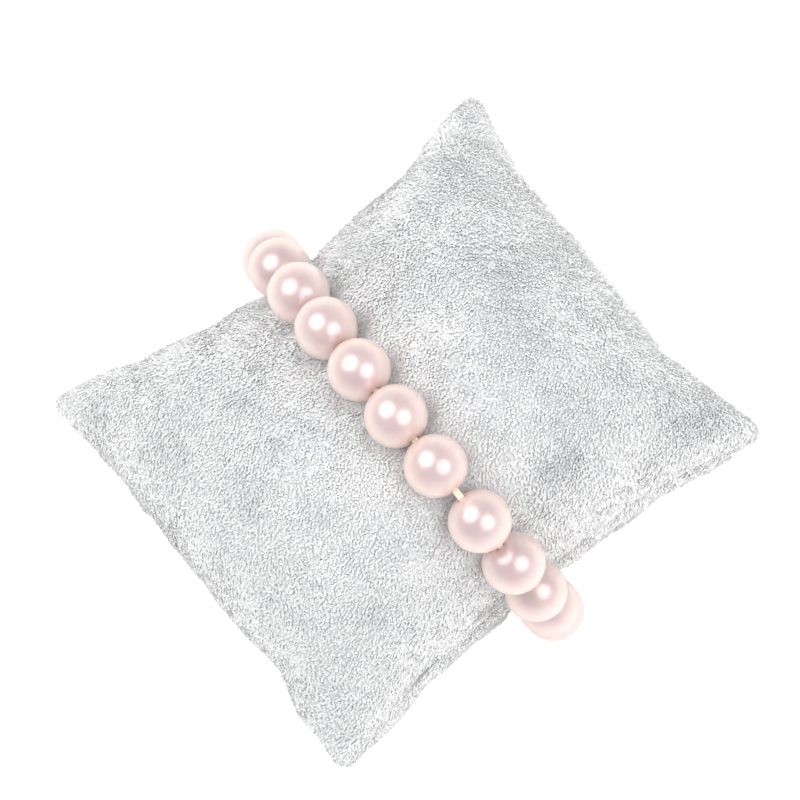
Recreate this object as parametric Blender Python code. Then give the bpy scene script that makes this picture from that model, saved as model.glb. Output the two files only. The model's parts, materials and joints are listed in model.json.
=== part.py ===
"""Plush display pillow with a stretch bracelet of pearl beads around its waist.

Units are metres, +Z is up. The pillow lies flat: +X runs along its long axis, from one
end lobe to the other, and +Y points to its far long side. The origin is the middle of
the footprint, on the table. The bracelet is a closed loop in a plane of constant X.

The pillow is two dished fabric panels sewn together along their four sides and stuffed.
Its outline is a four-sided patch with pointed corners and sides that are pulled in. The
bracelet presses a waist into it, and the two lobes beside the waist rest on the table.
"""

import math

import bmesh
import bpy
import numpy as np
from mathutils import Vector

MM = 0.001

# Where the pillow's own axes lie, measured from the middle of the footprint.
FRAME_X = -0.475 * MM
FRAME_Y = 1.96 * MM

# Pillow outline on the inside of the fabric: four corners, and how far each side is
# pulled in at its middle.
CORNER_FAR_LEFT = (-41.9 * MM, 39.5 * MM)
CORNER_FAR_RIGHT = (41.8 * MM, 35.5 * MM)
CORNER_NEAR_RIGHT = (42.9 * MM, -36.5 * MM)
CORNER_NEAR_LEFT = (-41.2 * MM, -37.0 * MM)
PULL_FAR = 9.0 * MM
PULL_NEAR = 4.2 * MM
PULL_LEFT = 1.75 * MM
PULL_RIGHT = 3.9 * MM

# How the pull fades towards a side's corners. A larger power keeps the short sides
# straighter; a larger one on the long sides draws the pull in to the middle.
PULL_FADE_FAR = 1.34
PULL_FADE_NEAR = 1.15
PULL_FADE_LEFT = 2.85
PULL_FADE_RIGHT = 3.4

# Pillow heights, inside the fabric.
FABRIC_THICKNESS = 0.9 * MM
SEAM_HEIGHT = 22.5 * MM
SEAM_CORNER_DROP = 2.0 * MM
SEAM_GAP = 1.0 * MM
CROWN_HEIGHT = 28.9 * MM
BELLY_DEPTH = 28.5 * MM
CROWN_SHIFT = -0.2
SECTION_POWER_FAR = 2.0
SECTION_POWER_NEAR = 2.65

# How the heights fall away towards the seam: powers of the position along and across,
# and the root that rounds the edge.
CROWN_POWER_ALONG = 2.7
CROWN_ROOT_ALONG = 0.5
BELLY_POWER_ALONG = 3.0
BELLY_ROOT_ALONG = 0.5
BELLY_POWER_ACROSS = 2.6
BELLY_ROOT_ACROSS = 0.45

# Bracelet.
BEAD_COUNT = 20
BEAD_RADIUS = 5.0 * MM
BEAD_PITCH = 10.1 * MM
BEAD_HOLE_RADIUS = 0.75 * MM
OPEN_LINK = 6
OPEN_LINK_LENGTH = 11.1 * MM
KNOT_LINK = 15
KNOT_EXTRA = 1.3 * MM
LAST_SPACED_BEAD = 10
CORD_STRAND_RADIUS = 0.275 * MM
KNOT_RADIUS = 0.8 * MM

# The loop that the bead centres follow: four superellipse quadrants that meet at the
# crown, at the lowest point and at the two side extremes.
LOOP_FAR = 44.6 * MM
LOOP_NEAR = 28.2 * MM
LOOP_CROWN_Y = -11.0 * MM
LOOP_MIDDLE_Z = 26.25 * MM
LOOP_UP = 30.75 * MM
LOOP_DOWN = 19.95 * MM
LOOP_POWER_FAR = 1.96
LOOP_POWER_NEAR = 2.29
LOOP_POWER_DOWN = 3.5
FIRST_BEAD_ARC = 5.97 * MM

# How the bracelet presses into the pillow.
WAIST_CLEARANCE = BEAD_RADIUS + 0.35 * MM
WAIST_HALF_FLAT = 4.6 * MM
WAIST_FALLOFF = 9.0 * MM
WAIST_RELEASE = 12.0 * MM
WAIST_BLEND = 0.8 * MM
WAIST_REACH = 30.0 * MM

# Stuffing and threads.
FILLING_SHRINK = 0.9
FILLING_GAP = 1.5 * MM
THREAD_RADIUS = 0.22 * MM
CLOSING_HALF = 0.36
CLOSING_REACH = CLOSING_HALF * 0.9

# Mesh fineness.
PANEL_CELLS_ALONG = 28
PANEL_CELLS_ACROSS = 20
FILLING_CELLS_ALONG = 20
FILLING_CELLS_ACROSS = 14
SEAM_CELLS_ALONG = 44
SEAM_CELLS_ACROSS = 40
CLOSING_STEPS = 12
BEAD_SEGMENTS = 18
BEAD_RINGS = 9
STRAND_STEPS = 5
LOOP_STEPS = 240


def clear_scene():
    for obj in list(bpy.data.objects):
        bpy.data.objects.remove(obj, do_unlink=True)


def make_material(name, colour, roughness, metallic=0.0):
    material = bpy.data.materials.new(name)
    material.use_nodes = True
    shader = material.node_tree.nodes["Principled BSDF"]
    shader.inputs["Base Color"].default_value = (*colour, 1.0)
    shader.inputs["Roughness"].default_value = roughness
    shader.inputs["Metallic"].default_value = metallic
    return material


def add_object(name, data, material):
    obj = bpy.data.objects.new(name, data)
    bpy.context.scene.collection.objects.link(obj)
    data.materials.append(material)
    return obj


# ---------------------------------------------------------------- bracelet loop


def loop_quadrant(half_width, half_height, power, steps):
    """A quarter superellipse, from its side extreme to its crown, as (across, up) pairs."""
    points = []
    for step in range(steps):
        angle = math.pi / 2 * step / steps
        across = half_width * math.cos(angle) ** (2 / power)
        up = half_height * math.sin(angle) ** (2 / power)
        points.append((across, up))
    return points


def loop_curve():
    """Closed polyline of (y, z), from the far extreme over the crown and back underneath."""
    far_up = loop_quadrant(LOOP_FAR, LOOP_UP, LOOP_POWER_FAR, LOOP_STEPS)
    near_up = loop_quadrant(LOOP_NEAR, LOOP_UP, LOOP_POWER_NEAR, LOOP_STEPS)
    near_down = loop_quadrant(LOOP_NEAR, LOOP_DOWN, LOOP_POWER_DOWN, LOOP_STEPS)
    far_down = loop_quadrant(LOOP_FAR, LOOP_DOWN, LOOP_POWER_DOWN, LOOP_STEPS)
    points = [(a, u) for a, u in far_up]
    points.append((0.0, LOOP_UP))
    points += [(-a, u) for a, u in reversed(near_up)]
    points += [(-a, -u) for a, u in near_down[1:]]
    points.append((0.0, -LOOP_DOWN))
    points += [(a, -u) for a, u in reversed(far_down)]
    points.pop()
    middle = np.array([LOOP_CROWN_Y + FRAME_Y, LOOP_MIDDLE_Z])
    return np.array(points) + middle


LOOP = loop_curve()
LOOP_CLOSED = np.vstack([LOOP, LOOP[:1]])
LOOP_ARC = np.concatenate([[0.0], np.cumsum(np.linalg.norm(np.diff(LOOP_CLOSED, axis=0), axis=1))])
LOOP_LENGTH = LOOP_ARC[-1]


def on_loop(arc):
    arc = arc % LOOP_LENGTH
    y = np.interp(arc, LOOP_ARC, LOOP_CLOSED[:, 0])
    z = np.interp(arc, LOOP_ARC, LOOP_CLOSED[:, 1])
    return np.array([y, z])


def next_arc(arc, chord):
    """The arc length at which the straight distance from on_loop(arc) reaches chord."""
    start = on_loop(arc)
    low = arc + chord * 0.98
    high = arc + chord * 1.4
    for _ in range(50):
        middle = (low + high) / 2
        if np.linalg.norm(on_loop(middle) - start) < chord:
            low = middle
        else:
            high = middle
    return (low + high) / 2


def underside_arcs(arc, pitch):
    """Arcs of the beads after the last spaced one, and where the closing link would end."""
    arcs = []
    for link in range(LAST_SPACED_BEAD, BEAD_COUNT):
        extra = KNOT_EXTRA if link == KNOT_LINK else 0.0
        arc = next_arc(arc, pitch + extra)
        arcs.append(arc)
    return arcs[:-1], arcs[-1]


def bead_centres():
    """Centres as (y, z): beads touch over the crown, and the rest share the underside evenly."""
    arcs = [FIRST_BEAD_ARC]
    for link in range(LAST_SPACED_BEAD):
        chord = OPEN_LINK_LENGTH if link == OPEN_LINK else BEAD_PITCH
        arcs.append(next_arc(arcs[-1], chord))
    home = LOOP_LENGTH + FIRST_BEAD_ARC
    low = 2 * BEAD_RADIUS * 0.95
    high = 2 * BEAD_RADIUS * 1.1
    for _ in range(50):
        pitch = (low + high) / 2
        _, end = underside_arcs(arcs[-1], pitch)
        if end < home:
            low = pitch
        else:
            high = pitch
    rest, _ = underside_arcs(arcs[-1], pitch)
    return np.array([on_loop(arc) for arc in arcs + rest])


def bead_axes(centres):
    """Unit directions of the bead holes: each lies along the line between its neighbours."""
    directions = np.roll(centres, -1, axis=0) - np.roll(centres, 1, axis=0)
    return directions / np.linalg.norm(directions, axis=1)[:, None]


def loop_normals():
    tangents = np.roll(LOOP, -1, axis=0) - np.roll(LOOP, 1, axis=0)
    tangents /= np.linalg.norm(tangents, axis=1)[:, None]
    return np.stack([-tangents[:, 1], tangents[:, 0]], axis=1)


LOOP_INWARD = loop_normals()


# ---------------------------------------------------------------- pillow surface


def press_waist(point, margin):
    """Moves a point inward until it clears the loop by margin, fading out along X."""
    x, y, z = point
    away = abs(x - FRAME_X)
    if away > WAIST_REACH:
        return point
    beyond = max(0.0, away - WAIST_HALF_FLAT) / WAIST_FALLOFF
    wanted = (margin + WAIST_RELEASE) * math.exp(-beyond * beyond) - WAIST_RELEASE
    offsets = np.array([y, z]) - LOOP
    nearest = int(np.argmin(np.einsum("ij,ij->i", offsets, offsets)))
    inward = LOOP_INWARD[nearest]
    short = wanted - float(offsets[nearest] @ inward)
    if short <= -WAIST_BLEND:
        return point
    if short < WAIST_BLEND:
        move = (short + WAIST_BLEND) ** 2 / (4 * WAIST_BLEND)
    else:
        move = short
    return (x, y + move * inward[0], z + move * inward[1])


def outline_point(s, t):
    """Point (x, y) of the four-sided patch, s along X and t along Y, both from -1 to 1."""
    right, far = (1 + s) / 2, (1 + t) / 2
    left, near = 1 - right, 1 - far
    x = near * (left * CORNER_NEAR_LEFT[0] + right * CORNER_NEAR_RIGHT[0])
    x += far * (left * CORNER_FAR_LEFT[0] + right * CORNER_FAR_RIGHT[0])
    y = near * (left * CORNER_NEAR_LEFT[1] + right * CORNER_NEAR_RIGHT[1])
    y += far * (left * CORNER_FAR_LEFT[1] + right * CORNER_FAR_RIGHT[1])
    x += left * PULL_LEFT * (1 - abs(t) ** PULL_FADE_LEFT)
    x -= right * PULL_RIGHT * (1 - abs(t) ** PULL_FADE_RIGHT)
    y -= far * PULL_FAR * (1 - s * s) ** PULL_FADE_FAR
    y += near * PULL_NEAR * (1 - s * s) ** PULL_FADE_NEAR
    return x + FRAME_X, y + FRAME_Y


def seam_z(s, t):
    return SEAM_HEIGHT - SEAM_CORNER_DROP * (s * t) ** 4


def crown_section(s, t):
    """Height of the upper panel across the pillow, 0 at the seam and 1 at the ridge."""
    ridge = CROWN_SHIFT * (1 - s * s)
    if t > ridge:
        across, power = (t - ridge) / (1 - ridge), SECTION_POWER_FAR
    else:
        across, power = (ridge - t) / (1 + ridge), SECTION_POWER_NEAR
    return max(0.0, 1 - across**power) ** (1 / power)


def upper_height(s, t):
    lengthwise = max(0.0, 1 - abs(s) ** CROWN_POWER_ALONG) ** CROWN_ROOT_ALONG
    return CROWN_HEIGHT * lengthwise * crown_section(s, t)


def lower_depth(s, t):
    lengthwise = max(0.0, 1 - abs(s) ** BELLY_POWER_ALONG) ** BELLY_ROOT_ALONG
    across = max(0.0, 1 - abs(t) ** BELLY_POWER_ACROSS) ** BELLY_ROOT_ACROSS
    return BELLY_DEPTH * lengthwise * across


def panel_point(s, t, upper):
    """Inner face of a panel. The underside stops at the table, where it is flat."""
    x, y = outline_point(s, t)
    if upper:
        z = seam_z(s, t) + SEAM_GAP / 2 + upper_height(s, t)
    else:
        z = seam_z(s, t) - SEAM_GAP / 2 - lower_depth(s, t)
        z = max(z, FABRIC_THICKNESS)
    return press_waist((x, y, z), WAIST_CLEARANCE + FABRIC_THICKNESS)


def filling_point(s, t, upper):
    """Surface of the stuffing, inside the panels on every side."""
    s, t = s * FILLING_SHRINK, t * FILLING_SHRINK
    x, y = outline_point(s, t)
    if upper:
        z = seam_z(s, t) + upper_height(s, t) - FILLING_GAP
    else:
        z = seam_z(s, t) - lower_depth(s, t) + FILLING_GAP
        z = max(z, FABRIC_THICKNESS + FILLING_GAP)
    return press_waist((x, y, z), WAIST_CLEARANCE + FABRIC_THICKNESS + FILLING_GAP)


def along_lines(cells):
    """Values of s: close together at both ends and at the waist."""
    lines = []
    for i in range(cells + 1):
        u = 2 * i / cells - 1
        warped = math.copysign(abs(u) ** 1.25, u)
        lines.append(math.sin(math.pi / 2 * warped))
    return lines


def across_lines(cells):
    """Values of t: close together at both sides."""
    return [math.sin(math.pi / 2 * (2 * j / cells - 1)) for j in range(cells + 1)]


def grid_sheet(bm, cells_along, cells_across, surface, upper):
    """Adds an open grid sheet that follows surface(s, t, upper), facing out of the pillow."""
    rows = []
    for s in along_lines(cells_along):
        rows.append([bm.verts.new(surface(s, t, upper)) for t in across_lines(cells_across)])
    for i in range(cells_along):
        for j in range(cells_across):
            corners = [rows[i][j], rows[i + 1][j], rows[i + 1][j + 1], rows[i][j + 1]]
            if not upper:
                corners.reverse()
            bm.faces.new(corners)


def finish_mesh(bm, name):
    mesh = bpy.data.meshes.new(name)
    bmesh.ops.recalc_face_normals(bm, faces=bm.faces)
    bm.to_mesh(mesh)
    bm.free()
    mesh.shade_smooth()
    return mesh


def build_panel(name, upper, material):
    """One fabric panel: the inner sheet, thickened outward."""
    bm = bmesh.new()
    grid_sheet(bm, PANEL_CELLS_ALONG, PANEL_CELLS_ACROSS, panel_point, upper)
    mesh = bpy.data.meshes.new(name)
    bm.to_mesh(mesh)
    bm.free()
    mesh.shade_smooth()
    panel = add_object(name, mesh, material)
    thickness = panel.modifiers.new("fabric_thickness", "SOLIDIFY")
    thickness.thickness = FABRIC_THICKNESS
    thickness.offset = 1.0
    return panel


def build_filling(material):
    bm = bmesh.new()
    grid_sheet(bm, FILLING_CELLS_ALONG, FILLING_CELLS_ACROSS, filling_point, True)
    grid_sheet(bm, FILLING_CELLS_ALONG, FILLING_CELLS_ACROSS, filling_point, False)
    rims = [edge for edge in bm.edges if edge.is_boundary]
    bmesh.ops.bridge_loops(bm, edges=rims)
    return add_object("fibre_filling", finish_mesh(bm, "fibre_filling"), material)


# ---------------------------------------------------------------- seam threads


def seam_path():
    """Seam line all the way round, as (s, t), starting and ending mid-way on the left side."""
    across = across_lines(SEAM_CELLS_ACROSS)
    along = along_lines(SEAM_CELLS_ALONG)[1:-1]
    path = [(-1.0, t) for t in across if t >= 0]
    path += [(s, 1.0) for s in along]
    path += [(1.0, t) for t in reversed(across)]
    path += [(s, -1.0) for s in reversed(along)]
    path += [(-1.0, t) for t in across if t <= 0]
    return path


def seam_thread_point(s, t):
    """Middle of the seam valley, half a fabric thickness outside the inner outline."""
    x, y = outline_point(s, t)
    point = press_waist((x, y, seam_z(s, t)), WAIST_CLEARANCE + FABRIC_THICKNESS)
    outward = Vector((s if abs(s) == 1.0 else 0.0, t if abs(t) == 1.0 else 0.0, 0.0))
    return Vector(point) + outward.normalized() * FABRIC_THICKNESS / 2


def build_thread(name, points, material):
    curve = bpy.data.curves.new(name, "CURVE")
    curve.dimensions = "3D"
    curve.bevel_depth = THREAD_RADIUS
    curve.bevel_resolution = 1
    curve.use_fill_caps = True
    spline = curve.splines.new("POLY")
    spline.points.add(len(points) - 1)
    for slot, point in zip(spline.points, points):
        slot.co = (*point, 1.0)
    return add_object(name, curve, material)


def build_threads(main_material, closing_material):
    """The machine-sewn thread leaves an opening on the left side, closed by hand stitches."""
    path = seam_path()
    main = [p for p in path if not (p[0] == -1.0 and abs(p[1]) < CLOSING_HALF)]
    build_thread("main_seam_thread", [seam_thread_point(*p) for p in main], main_material)
    shares = [2 * i / CLOSING_STEPS - 1 for i in range(CLOSING_STEPS + 1)]
    closing = [(-1.0, CLOSING_REACH * share) for share in shares]
    build_thread("closing_seam_thread", [seam_thread_point(*p) for p in closing], closing_material)


# ---------------------------------------------------------------- bracelet pieces


def bead_mesh():
    """A drilled ball: the profile from mouth to mouth, closed along the bore, spun about Z."""
    mouth = math.asin(BEAD_HOLE_RADIUS / BEAD_RADIUS)
    bm = bmesh.new()
    profile = []
    for ring in range(BEAD_RINGS + 1):
        angle = mouth + (math.pi - 2 * mouth) * ring / BEAD_RINGS
        point = (BEAD_RADIUS * math.sin(angle), 0.0, BEAD_RADIUS * math.cos(angle))
        profile.append(bm.verts.new(point))
    edges = [bm.edges.new(pair) for pair in zip(profile, profile[1:])]
    edges.append(bm.edges.new((profile[-1], profile[0])))
    bmesh.ops.spin(
        bm,
        geom=profile + edges,
        axis=(0, 0, 1),
        cent=(0, 0, 0),
        steps=BEAD_SEGMENTS,
        angle=2 * math.pi,
        use_merge=True,
    )
    bmesh.ops.remove_doubles(bm, verts=bm.verts, dist=0.01 * MM)
    mesh = finish_mesh(bm, "pearl_bead")
    mesh.set_sharp_from_angle(angle=math.radians(50))
    return mesh


def build_beads(centres, axes, material):
    shared = bead_mesh()
    shared.materials.append(material)
    for number, (centre, axis) in enumerate(zip(centres, axes), start=1):
        bead = bpy.data.objects.new(f"pearl_bead_{number:02d}", shared)
        bpy.context.scene.collection.objects.link(bead)
        bead.location = (FRAME_X, centre[0], centre[1])
        direction = Vector((0.0, axis[0], axis[1]))
        bead.rotation_mode = "QUATERNION"
        bead.rotation_quaternion = Vector((0, 0, 1)).rotation_difference(direction)


def cord_section(scale_across, scale_up):
    """Two strands side by side: a figure-eight outline as (across, up) pairs."""
    outline = []
    for side in (1, -1):
        for step in range(STRAND_STEPS):
            angle = side * math.pi / 2 - math.pi * (step + 0.5) / STRAND_STEPS
            across = CORD_STRAND_RADIUS * (side + math.cos(angle))
            up = -CORD_STRAND_RADIUS * math.sin(angle)
            outline.append((across, up))
    outline.sort(key=lambda p: math.atan2(p[1], p[0]))
    return [(a * scale_across, u * scale_up) for a, u in outline]


def cord_stations(centres, axes):
    """Where the cord's rings stand: at both mouths of every bead, and along the knot."""
    mouth = math.sqrt(BEAD_RADIUS**2 - BEAD_HOLE_RADIUS**2)
    round_across = KNOT_RADIUS / (2 * CORD_STRAND_RADIUS)
    round_up = KNOT_RADIUS / CORD_STRAND_RADIUS
    stations = []
    for number, (centre, axis) in enumerate(zip(centres, axes)):
        stations.append((centre - axis * mouth, axis, 1.0, 1.0))
        stations.append((centre + axis * mouth, axis, 1.0, 1.0))
        if number == KNOT_LINK:
            leave = centre + axis * mouth
            after = (number + 1) % BEAD_COUNT
            enter = centres[after] - axes[after] * mouth
            heading = (enter - leave) / np.linalg.norm(enter - leave)
            for share, size in ((0.22, 0.75), (0.5, 1.0), (0.78, 0.75)):
                middle = leave + (enter - leave) * share
                stations.append((middle, heading, round_across * size, round_up * size))
    return stations


def build_cord(centres, axes, material):
    bm = bmesh.new()
    rings = []
    for centre, axis, scale_across, scale_up in cord_stations(centres, axes):
        normal = np.array([-axis[1], axis[0]])
        ring = []
        for across, up in cord_section(scale_across, scale_up):
            y, z = centre + normal * up
            ring.append(bm.verts.new((FRAME_X + across, y, z)))
        rings.append(ring)
    for ring, following in zip(rings, rings[1:] + rings[:1]):
        for i in range(len(ring)):
            j = (i + 1) % len(ring)
            bm.faces.new((ring[i], ring[j], following[j], following[i]))
    return add_object("elastic_cord", finish_mesh(bm, "elastic_cord"), material)


def main():
    clear_scene()
    plush_upper = make_material("plush_upper", (0.66, 0.67, 0.67), 0.95)
    plush_lower = make_material("plush_lower", (0.64, 0.65, 0.65), 0.95)
    fibre = make_material("fibre", (0.90, 0.90, 0.88), 1.0)
    grey_thread = make_material("grey_thread", (0.52, 0.53, 0.53), 0.8)
    pale_thread = make_material("pale_thread", (0.62, 0.63, 0.63), 0.8)
    pearl = make_material("pearl", (0.89, 0.74, 0.74), 0.18)
    elastic = make_material("elastic", (0.90, 0.86, 0.78), 0.5)

    build_panel("cover_top_panel", True, plush_upper)
    build_panel("cover_bottom_panel", False, plush_lower)
    build_filling(fibre)
    build_threads(grey_thread, pale_thread)
    centres = bead_centres()
    axes = bead_axes(centres)
    build_beads(centres, axes, pearl)
    build_cord(centres, axes, elastic)


main()
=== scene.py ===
"""Looks of the plush display pillow and its pearl bracelet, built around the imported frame.

Everything is in metres in the frame of the CAD model. The bracelet's bead centres and
hole directions come from the bead joints, and the pillow's shape from its CAD panels.
"""

import json
import math

import bmesh
import bpy
import numpy as np
from mathutils import Matrix, Vector
from mathutils.bvhtree import BVHTree
from mathutils.kdtree import KDTree


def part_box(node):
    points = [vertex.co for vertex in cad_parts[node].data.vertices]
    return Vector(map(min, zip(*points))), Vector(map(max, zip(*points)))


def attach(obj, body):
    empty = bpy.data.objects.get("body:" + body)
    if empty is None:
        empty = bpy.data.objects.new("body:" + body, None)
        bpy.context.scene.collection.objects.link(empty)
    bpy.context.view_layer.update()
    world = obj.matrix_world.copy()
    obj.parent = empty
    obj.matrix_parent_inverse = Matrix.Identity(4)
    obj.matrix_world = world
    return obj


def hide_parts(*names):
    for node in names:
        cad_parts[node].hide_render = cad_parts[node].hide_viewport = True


MM = 0.001
X_AXIS = np.array([1.0, 0.0, 0.0])

# Pillow cover under the pile. The grid is stuffed by the simulation and then subdivided.
COVER_CELLS_ALONG = 48
COVER_CELLS_ACROSS = 42
COVER_OUTSET = 1.15 * MM
COVER_GROUND = 0.62 * MM
COVER_RELAX_ROUNDS = 4
COVER_RELAX_STRENGTH = 0.5
COVER_TABLE_GAP = 0.35 * MM
SEAM_GROOVE = 0.2 * MM
SEAM_GROOVE_OUTSET_SHARE = 0.5
SEAM_GROOVE_WIDTH = 0.8 * MM
SEAM_LOOP_BINS = 360
SEAM_STEPS_BETWEEN = 7
RAY_START = 200 * MM
EDGE_HALF_GAP = 0.4 * MM

# How the sewn corners stand out: the sides are pinched beside each corner.
HALF_LENGTH = 42.0 * MM
HALF_WIDTH = 37.0 * MM
PINCH_FAR_LEFT = 1.2 * MM
PINCH_FAR_RIGHT = 1.9 * MM
PINCH_NEAR = 0.95 * MM
PINCH_ENDS_FAR = 0.15 * MM
PINCH_ENDS_NEAR = 1.05 * MM
SHOULDER_PLACE = 0.58
SHOULDER_WIDTH = 0.24
CORNER_PUSH = 0.5 * MM
CORNER_SHARPNESS = 6

# Stuffing simulation, run ten times larger than life.
SIM_SCALE = 10.0
SIM_FRAMES = 20
SIM_PRESSURE = 4.0
SIM_ROOM = 0.9 * MM
SIM_CAP = 0.8 * MM
SIM_QUALITY = 6
SIM_MASS = 0.3
SIM_TENSION = 18
SIM_COMPRESSION = 12
SIM_SHEAR = 6
SIM_BENDING = 0.4
SIM_SHRINK = -0.035
HOLD_BEADS_FULL = 7.0 * MM
HOLD_BEADS_NONE = 12.0 * MM
HOLD_REST_FULL = 0.6 * MM
HOLD_REST_NONE = 2.0 * MM
HOLD_LEAST = 0.02

# Pile. Each tuft has a root ring, a shoulder ring and a tip. Angles are in degrees.
PILE_LENGTH = 0.85 * MM
PILE_LENGTH_PATCH = 0.10
PILE_LENGTH_SCATTER = 0.04
PILE_LENGTH_LIMITS = (0.7, 1.3)
PILE_RADIUS = 0.23 * MM
PILE_RADIUS_SCATTER = 0.16
PILE_RADIUS_LIMITS = (0.6, 1.4)
PILE_ROOT_DEPTH = 0.1 * MM
PILE_ROOT_WIDTH = 0.9
PILE_SHOULDER = 0.75
PILE_SHOULDER_BEND = 0.9
PILE_TIP_BEND = 1.5
PILE_SIDE_SHADE = 0.1
PILE_TIP_SHADE = 0.15
PILE_TABLE_GAP = 0.04 * MM
PILE_SPACING = 0.36 * MM
PILE_SPACING_BELOW = 0.5 * MM
PILE_SEED = 11
PILE_CANDIDATES = 3.2

# The way the pile lies: a main direction, slow drift, small swirls and scatter.
NAP_MAIN = np.array([-1.1, -0.7, 0.0])
NAP_FLOW = 0.7
NAP_FLOW_SEEDS = (3, 4, 5)
NAP_FLOW_WAVES = (9 * MM, 30 * MM)
NAP_SWIRL = 0.7
NAP_SWIRL_SEEDS = (6, 7, 8)
NAP_SWIRL_WAVES = (1.6 * MM, 4 * MM)
NAP_SCATTER = 0.4
LEAN = 46.0
LEAN_MORE_LEFT = 14.0
LEAN_LEFT_REACH = (10 * MM, -25 * MM)
LEAN_MOTTLE = 9.0
LEAN_SCATTER = 9.0

# The pile's tone: broad mottling, small patches and scatter, all on a scale of 0 to 1.
MOTTLE_SEED = 21
MOTTLE_WAVES = (5 * MM, 18 * MM)
PATCH_SEED = 22
PATCH_WAVES = (0.8 * MM, 3.2 * MM)
PATCH_WAVE_COUNT = 60
TONE_MIDDLE = 0.52
TONE_MOTTLE = 0.24
TONE_PATCH = 0.24
TONE_SCATTER = 0.06
TONE_AT_SEAM = -0.3
TONE_LIMITS = (0.02, 0.98)
# Heights up each tuft, kept in the uv; the pile material paints shade towards the root from them.
HEIGHT_ROOT = 0.03
HEIGHT_TIP = 0.97

# The pile beside the seam is shorter and thinner, so the seam reads as a line.
SEAM_PILE_LENGTH = 0.3
SEAM_PILE_LENGTH_REACH = (0.15 * MM, 1.1 * MM)
SEAM_PILE_WIDTH = 0.6
SEAM_PILE_WIDTH_REACH = (0.0, 0.6 * MM)
SEAM_PILE_TONE_REACH = (0.1 * MM, 0.5 * MM)

# Below this height the pile thins out, where the pillow faces the table.
THINNING_STARTS = 14 * MM
THINNING_ENDS = 6 * MM

# Bracelet.
BEAD_RADIUS = 5.0 * MM
BEAD_HOLE_RADIUS = 0.75 * MM
BEAD_CLEARANCE = 0.08 * MM
STRAND_RADIUS = 0.27 * MM
STRAND_SIDES = 12
STRAND_PLACE = 0.98
KNOT_RADIUS = 0.75 * MM
KNOT_SIDES = 10
KNOT_STEPS = 60
KNOT_SECOND_TURN = 0.82
BEAD_RINGS = 30
BEAD_SEGMENTS = 56
BEAD_MOUTH_EDGE = 0.12 * MM
BEAD_SPIN_STEP = 2.4

# Camera: where it looks from, around the point it looks at.
CAMERA_TARGET = Vector((-0.475, 1.96, 18.0)) * MM
CAMERA_TILT = 16.0
CAMERA_TURN = -0.45
CAMERA_ROLL = -40.22
CAMERA_DISTANCE = 0.8
CAMERA_LENS = 220.57
CAMERA_SHIFT = (-0.0113, 0.0368)
CAMERA_SENSOR = 36.0

# Light. Directions are shares of the camera's right, up and back. Sizes in metres, watts.
KEY_DIRECTION = (-0.51, 0.38, 0.77)
KEY_SIZE = 0.68
KEY_POWER = 2.95
FILL_DIRECTION = (0.47, -0.06, 0.88)
FILL_SIZE = 0.62
FILL_POWER = 2.1
LIGHT_DISTANCE = 0.7
SKY_STOPS = [(0.0, 1.3), (0.06, 1.3), (0.3, 0.66), (1.0, 0.34)]
SKY_REFLECTED = 0.75
FLOOR_HALF_SIZE = 1.6
FLOOR_DROP = 0.02 * MM
FLOOR_GLOW = 0.4

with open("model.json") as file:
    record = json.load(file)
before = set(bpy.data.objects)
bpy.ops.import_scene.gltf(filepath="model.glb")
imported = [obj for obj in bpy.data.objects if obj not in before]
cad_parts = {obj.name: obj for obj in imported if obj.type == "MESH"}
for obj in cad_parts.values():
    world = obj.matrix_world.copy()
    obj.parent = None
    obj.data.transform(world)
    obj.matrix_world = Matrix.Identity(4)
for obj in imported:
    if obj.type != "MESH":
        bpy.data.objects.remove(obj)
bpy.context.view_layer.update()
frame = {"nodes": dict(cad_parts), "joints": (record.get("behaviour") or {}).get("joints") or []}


# ---------------------------------------------------------------- small helpers


def new_object(name, data, material):
    """A scene object, with its material if there is one."""
    obj = bpy.data.objects.new(name, data)
    bpy.context.scene.collection.objects.link(obj)
    if material is not None:
        data.materials.append(material)
    return obj


def mesh_from(name, verts, faces):
    """A mesh from lists of vertices and faces."""
    mesh = bpy.data.meshes.new(name)
    mesh.from_pydata([tuple(v) for v in verts], [], faces)
    mesh.update()
    return mesh


def unit(v):
    """Vectors scaled to length 1."""
    return v / np.maximum(np.linalg.norm(v, axis=-1, keepdims=True), 1e-12)


def smoothstep(low, high, value):
    """0 at low, 1 at high, eased in between. Low may be the larger."""
    x = np.clip((value - low) / (high - low), 0.0, 1.0)
    return x * x * (3 - 2 * x)


class Waves:
    """Smooth noise in space: a sum of seeded plane waves, mostly between -1 and 1."""

    def __init__(self, seed, shortest, longest, count=26):
        rng = np.random.default_rng(seed)
        direction = unit(rng.normal(size=(count, 3)))
        length = shortest * (longest / shortest) ** rng.random(count)
        self.k = direction * (2 * math.pi / length)[:, None]
        self.phase = rng.random(count) * 2 * math.pi
        self.gain = 0.5 * math.sqrt(2 / count)

    def __call__(self, points):
        total = np.zeros(len(points))
        for k, phase in zip(self.k, self.phase):
            total += np.sin(points @ k + phase)
        return total * self.gain


# ---------------------------------------------------------------- frame facts


bead_joints = [j for j in frame["joints"] if j["name"].startswith("bead_")]
bead_joints.sort(key=lambda j: j["name"])
BEADS = np.array([j["pos_m"] for j in bead_joints])
HOLES = unit(np.array([j["axis"] for j in bead_joints], dtype=float))
SLIDE = max(abs(v) for j in frame["joints"] if j["type"] == "slide" for v in j["range_m"])
WAIST_X = float(BEADS[0][0])
CAD_MIDDLE_Y = float(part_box("cover_top_panel")[0][1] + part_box("cover_top_panel")[1][1]) / 2


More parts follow.
